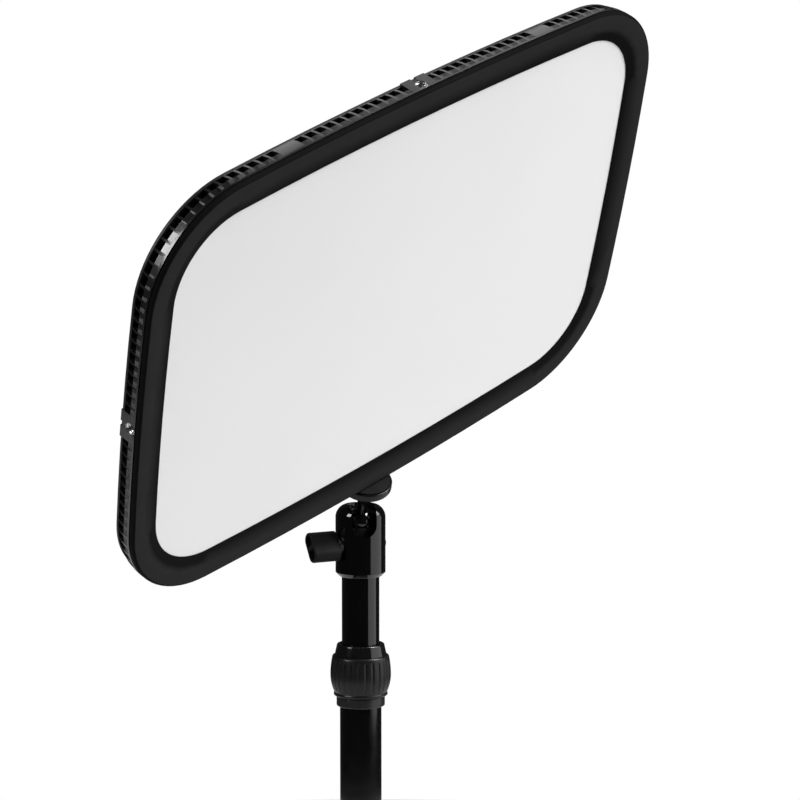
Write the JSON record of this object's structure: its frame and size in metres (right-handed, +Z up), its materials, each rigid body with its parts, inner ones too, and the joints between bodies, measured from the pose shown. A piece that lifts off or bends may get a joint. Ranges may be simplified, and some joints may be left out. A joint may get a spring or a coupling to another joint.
{
  "type": "led panel light",
  "caption": "Flat edge-lit studio light panel with bowed sides and a finned rim, set on a locking ball head that caps a two-section telescopic pole.",
  "frame": {"origin": "centre of the pole's foot, at the mouth of its threaded socket", "axes": "+Z runs up the pole; the panel leans towards -X and -Y and its lit front faces mainly -Y and down, so the pole is upright and the panel keeps the heading and tilt it is set to"},
  "size_m": [0.3777, 0.1577, 0.6505],
  "materials": {
    "bezel_black": "fine matte moulded",
    "diffuser_opal": "opal, softly satin",
    "film_white": "translucent film",
    "guide_clear": "polished clear acrylic",
    "reflector_white": "bright white sheet",
    "tray_aluminium": "mill finish",
    "strip_white": "white solder mask",
    "chip_warm": "phosphor resin",
    "chip_cool": "phosphor resin",
    "rim_black": "black anodised, satin",
    "insert_steel": "bright wire thread",
    "cover_black": "fine matte moulded",
    "screw_black": "black oxide",
    "housing_black": "fine matte moulded",
    "board_green": "green solder mask",
    "screw_steel": "zinc plated",
    "choke_copper": "enamelled winding",
    "capacitor_sleeve": "shrink sleeve",
    "chip_black": "moulded epoxy",
    "shield_steel": "tinned sheet",
    "socket_white": "moulded nylon",
    "ribbon_grey": "flat cable",
    "jack_black": "moulded",
    "pin_brass": "bright",
    "switch_black": "moulded",
    "rocker_black": "moulded",
    "disc_black": "black anodised, satin",
    "pad_rubber": "smooth",
    "stem_black": "black oxide, glossy",
    "seat_nylon": "black nylon",
    "head_black": "glossy black",
    "plunger_brass": "turned",
    "bush_black": "black oxide",
    "knob_black": "satin moulded",
    "tube_black": "glossy black",
    "plug_aluminium": "turned",
    "bushing_nylon": "black nylon",
    "collar_grey": "ribbed satin grip",
    "ring_bright": "polished black cap",
    "base_ring_black": "satin moulded"
  },
  "bodies": {
    "lower_pole": {"lower_tube": "tube_black", "foot_plug": "plug_aluminium", "foot_pins": "screw_steel", "collet_sleeve": "bushing_nylon", "collar_base_ring": "base_ring_black"},
    "collar": {"twist_collar": "collar_grey", "collar_trim_ring": "ring_bright"},
    "slider": {"slide_bushing": "bushing_nylon"},
    "head": {"upper_tube": "tube_black", "tube_plug": "plug_aluminium", "head_screw": "screw_steel", "ball_head_housing": "head_black", "knob_bush": "bush_black", "guide_screw": "screw_black"},
    "knob": {"lock_knob": "knob_black"},
    "clamp_rod": {"clamp_screw": "screw_steel"},
    "brake": {"brake_plunger": "plunger_brass"},
    "swivel": {"ball_seat": "seat_nylon"},
    "ball": {"ball_stem": "stem_black"},
    "disc": {"lock_disc": "disc_black", "disc_pad": "pad_rubber"},
    "panel": {"front_bezel": "bezel_black", "diffuser_plate": "diffuser_opal", "diffusion_film": "film_white", "light_guide_plate": "guide_clear", "reflector_sheet": "reflector_white", "heat_tray": "tray_aluminium", "led_strip_top": "strip_white", "led_strip_bottom": "strip_white", "led_strip_left": "strip_white", "led_strip_right": "strip_white", "led_chips_warm": "chip_warm", "led_chips_cool": "chip_cool", "housing_rim": "rim_black", "insert_top": "insert_steel", "insert_bottom": "insert_steel", "insert_left": "insert_steel", "insert_right": "insert_steel", "rear_cover": "cover_black", "cover_screws": "screw_black", "tray_screws": "screw_black", "electronics_housing": "housing_black", "housing_screws": "screw_black", "driver_board": "board_green", "board_screws": "screw_steel", "board_chokes": "choke_copper", "board_capacitors": "capacitor_sleeve", "board_chips": "chip_black", "control_module": "shield_steel", "ribbon_socket": "socket_white", "led_ribbon": "ribbon_grey", "dc_jack": "jack_black", "jack_pin": "pin_brass", "power_switch_body": "switch_black"},
    "rocker": {"power_switch_rocker": "rocker_black"}
  },
  "joints": [
    {"name": "pole_slide", "type": "slide", "parent": "lower_pole", "child": "slider", "axis": [0, 0, 1], "range_m": [-0.034, 0.175]},
    {"name": "pole_pan", "type": "hinge", "parent": "slider", "child": "head", "pos_m": [0, 0, 0], "axis": [0, 0, 1], "continuous": true},
    {"name": "collar_twist", "type": "hinge", "parent": "lower_pole", "child": "collar", "pos_m": [0, 0, 0], "axis": [0, 0, 1], "range_deg": [0, 90]},
    {"name": "knob_turn", "type": "hinge", "parent": "head", "child": "knob", "pos_m": [0, 0, 0.3675], "axis": [-0.9152, 0.4031, 0], "range_deg": [0, 270]},
    {"name": "clamp_screw_travel", "type": "slide", "parent": "head", "child": "clamp_rod", "axis": [-0.9152, 0.4031, 0], "range_m": [0, 0.00076]},
    {"name": "brake_travel", "type": "slide", "parent": "head", "child": "brake", "axis": [0, 0, 1], "range_m": [-0.00045, 0]},
    {"name": "ball_swivel", "type": "hinge", "parent": "head", "child": "swivel", "pos_m": [0, 0, 0.38], "axis": [0, 0, 1], "range_deg": [-8, 8]},
    {"name": "ball_tilt", "type": "hinge", "parent": "swivel", "child": "ball", "pos_m": [0, 0, 0.38], "axis": [0.7573, -0.653, 0], "range_deg": [-53.5, 56.5]},
    {"name": "panel_spin", "type": "hinge", "parent": "ball", "child": "panel", "pos_m": [0, 0, 0.38], "axis": [-0.36, -0.4176, 0.8343], "continuous": true},
    {"name": "lock_disc_turn", "type": "hinge", "parent": "ball", "child": "disc", "pos_m": [0, 0, 0.38], "axis": [-0.36, -0.4176, 0.8343], "range_deg": [-270, 0]},
    {"name": "power_rocker", "type": "hinge", "parent": "panel", "child": "rocker", "pos_m": [0.01855, -0.01897, 0.45343], "axis": [0, -0.8942, -0.4476], "range_deg": [-12, 0]}
  ],
  "couplings": [
    {"joint": "clamp_screw_travel", "follows": "knob_turn", "m_per_rad": 0.00015915},
    {"joint": "brake_travel", "follows": "knob_turn", "m_per_rad": -0.000091888}
  ]
}
